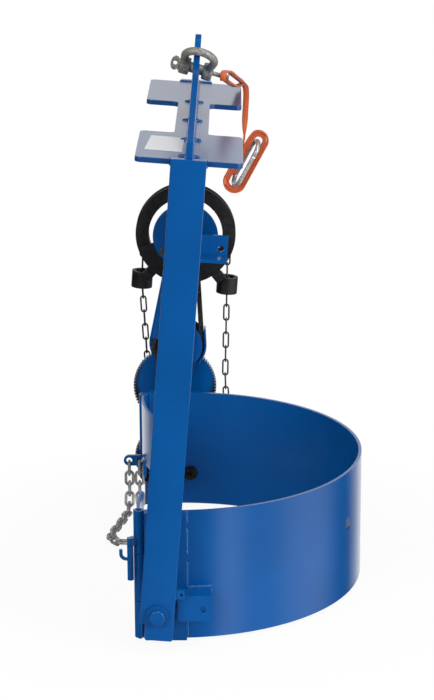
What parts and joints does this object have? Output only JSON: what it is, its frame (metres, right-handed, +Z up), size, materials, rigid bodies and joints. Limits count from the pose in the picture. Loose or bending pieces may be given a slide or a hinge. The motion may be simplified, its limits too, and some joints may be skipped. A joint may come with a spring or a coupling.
{
  "type": "hoist-mounted drum lifter",
  "caption": "Hoist-hung yoke with a geared, hand-chain tilted half-band holder that cinches round a drum to lift, turn and pour it.",
  "frame": {"origin": "centre of the shackle pin in the lifting lug, on the load line", "axes": "+Z up along the yoke, +Y along the tilt axis towards the hand-chain drive, +X to the closed side of the band"},
  "size_m": [0.4192, 0.7846, 0.8808],
  "materials": {
    "blue_paint": "glossy enamel",
    "black_iron": "black oxide",
    "black_steel": "black oxide",
    "dark_chain": "oiled",
    "plain_steel": "machined",
    "galvanized": "dull zinc",
    "bronze": "plain bearing",
    "orange_webbing": "woven webbing",
    "silver": "polished"
  },
  "bodies": {
    "yoke": {"near_arm": "blue_paint", "far_arm": "blue_paint", "top_plate": "blue_paint", "lifting_lug": "blue_paint", "arm_bracket": "blue_paint", "lock_tab": "blue_paint", "near_bush": "bronze", "far_bush": "bronze", "drive_bushes": "bronze", "drive_plate": "blue_paint", "chain_guard": "blue_paint", "wheel_disc": "blue_paint", "disc_spacers": "plain_steel", "disc_bolts": "black_steel", "chain_guide": "black_iron", "guide_bolts": "plain_steel", "idler_pin": "plain_steel", "hand_chain": "dark_chain", "roller_chain": "dark_chain", "lanyard_strap": "orange_webbing", "lanyard_hank": "orange_webbing", "carabiner_body": "silver"},
    "holder": {"saddle_band": "blue_paint", "near_pad": "blue_paint", "far_pad": "blue_paint", "flange_bolts": "black_steel", "flange_washers": "plain_steel", "near_pivot": "blue_paint", "pivot_washer": "blue_paint", "pivot_bolt": "blue_paint", "tilt_shaft": "plain_steel", "tilt_gear": "blue_paint", "tilt_nut": "black_steel", "lock_bracket": "blue_paint", "near_hinge_pin": "blue_paint", "far_hinge_pin": "blue_paint", "chain_anchor": "blue_paint", "cinch_chain": "galvanized"},
    "hand_wheel": {"wheel_shaft": "plain_steel", "pocket_wheel": "black_iron", "drive_sprocket": "plain_steel", "wheel_nut": "black_steel"},
    "lay_train": {"lay_shaft": "plain_steel", "driven_sprocket": "plain_steel", "pinion": "plain_steel", "lay_nut": "black_steel"},
    "idler": {"idler_gear": "blue_paint"},
    "lever": {"cinch_lever": "blue_paint", "hook_pin": "blue_paint"},
    "hook": {"grab_hook": "blue_paint"},
    "leaf": {"far_leaf": "blue_paint"},
    "bow_pin": {"shackle_pin": "galvanized"},
    "bow": {"shackle_bow": "galvanized"},
    "gate": {"carabiner_gate": "silver"}
  },
  "joints": [
    {"name": "holder_tilt", "type": "hinge", "parent": "yoke", "child": "holder", "pos_m": [0, 0, -0.7594], "axis": [0, 1, 0], "continuous": true, "deforming": ["roller_chain"]},
    {"name": "idler_turn", "type": "hinge", "parent": "yoke", "child": "idler", "pos_m": [0, 0.378, -0.6262], "axis": [0, 1, 0], "continuous": true},
    {"name": "lay_turn", "type": "hinge", "parent": "yoke", "child": "lay_train", "pos_m": [0, 0.36, -0.5434], "axis": [0, 1, 0], "continuous": true},
    {"name": "wheel_turn", "type": "hinge", "parent": "yoke", "child": "hand_wheel", "pos_m": [0, 0.4, -0.35446], "axis": [0, 1, 0], "continuous": true},
    {"name": "lever_swing", "type": "hinge", "parent": "holder", "child": "lever", "pos_m": [-0.02773, -0.28798, -0.76152], "axis": [-0.0764, 0, 0.9971], "range_deg": [0, 77]},
    {"name": "hook_swing", "type": "hinge", "parent": "lever", "child": "hook", "pos_m": [-0.04018, -0.3, -0.76248], "axis": [-0.0764, 0, 0.9971], "range_deg": [-45, 45]},
    {"name": "leaf_swing", "type": "hinge", "parent": "holder", "child": "leaf", "pos_m": [-0.0417, 0.2851, -0.76259], "axis": [-0.0764, 0, 0.9971], "range_deg": [-80, 0]},
    {"name": "shackle_lift", "type": "slide", "parent": "yoke", "child": "bow_pin", "axis": [0, 0, 1], "range_m": [0, 0.016], "deforming": ["lanyard_strap"]},
    {"name": "shackle_swing", "type": "hinge", "parent": "bow_pin", "child": "bow", "pos_m": [0, 0, 0], "axis": [-0.9781, 0, 0.2079], "range_deg": [0, 54]},
    {"name": "gate_swing", "type": "hinge", "parent": "yoke", "child": "gate", "pos_m": [0.10481, 0.30854, -0.19318], "axis": [0.8864, 0.2419, -0.3947], "range_deg": [0, 25], "stiffness_Nm_per_rad": 0.05, "springref_deg": -22.92}
  ],
  "couplings": [
    {"joint": "idler_turn", "follows": "holder_tilt", "ratio": -0.85},
    {"joint": "lay_turn", "follows": "holder_tilt", "ratio": 5.6667},
    {"joint": "wheel_turn", "follows": "holder_tilt", "ratio": 13.222},
    {"joint": "shackle_swing", "follows": "shackle_lift", "rad_per_m": 58.905}
  ]
}
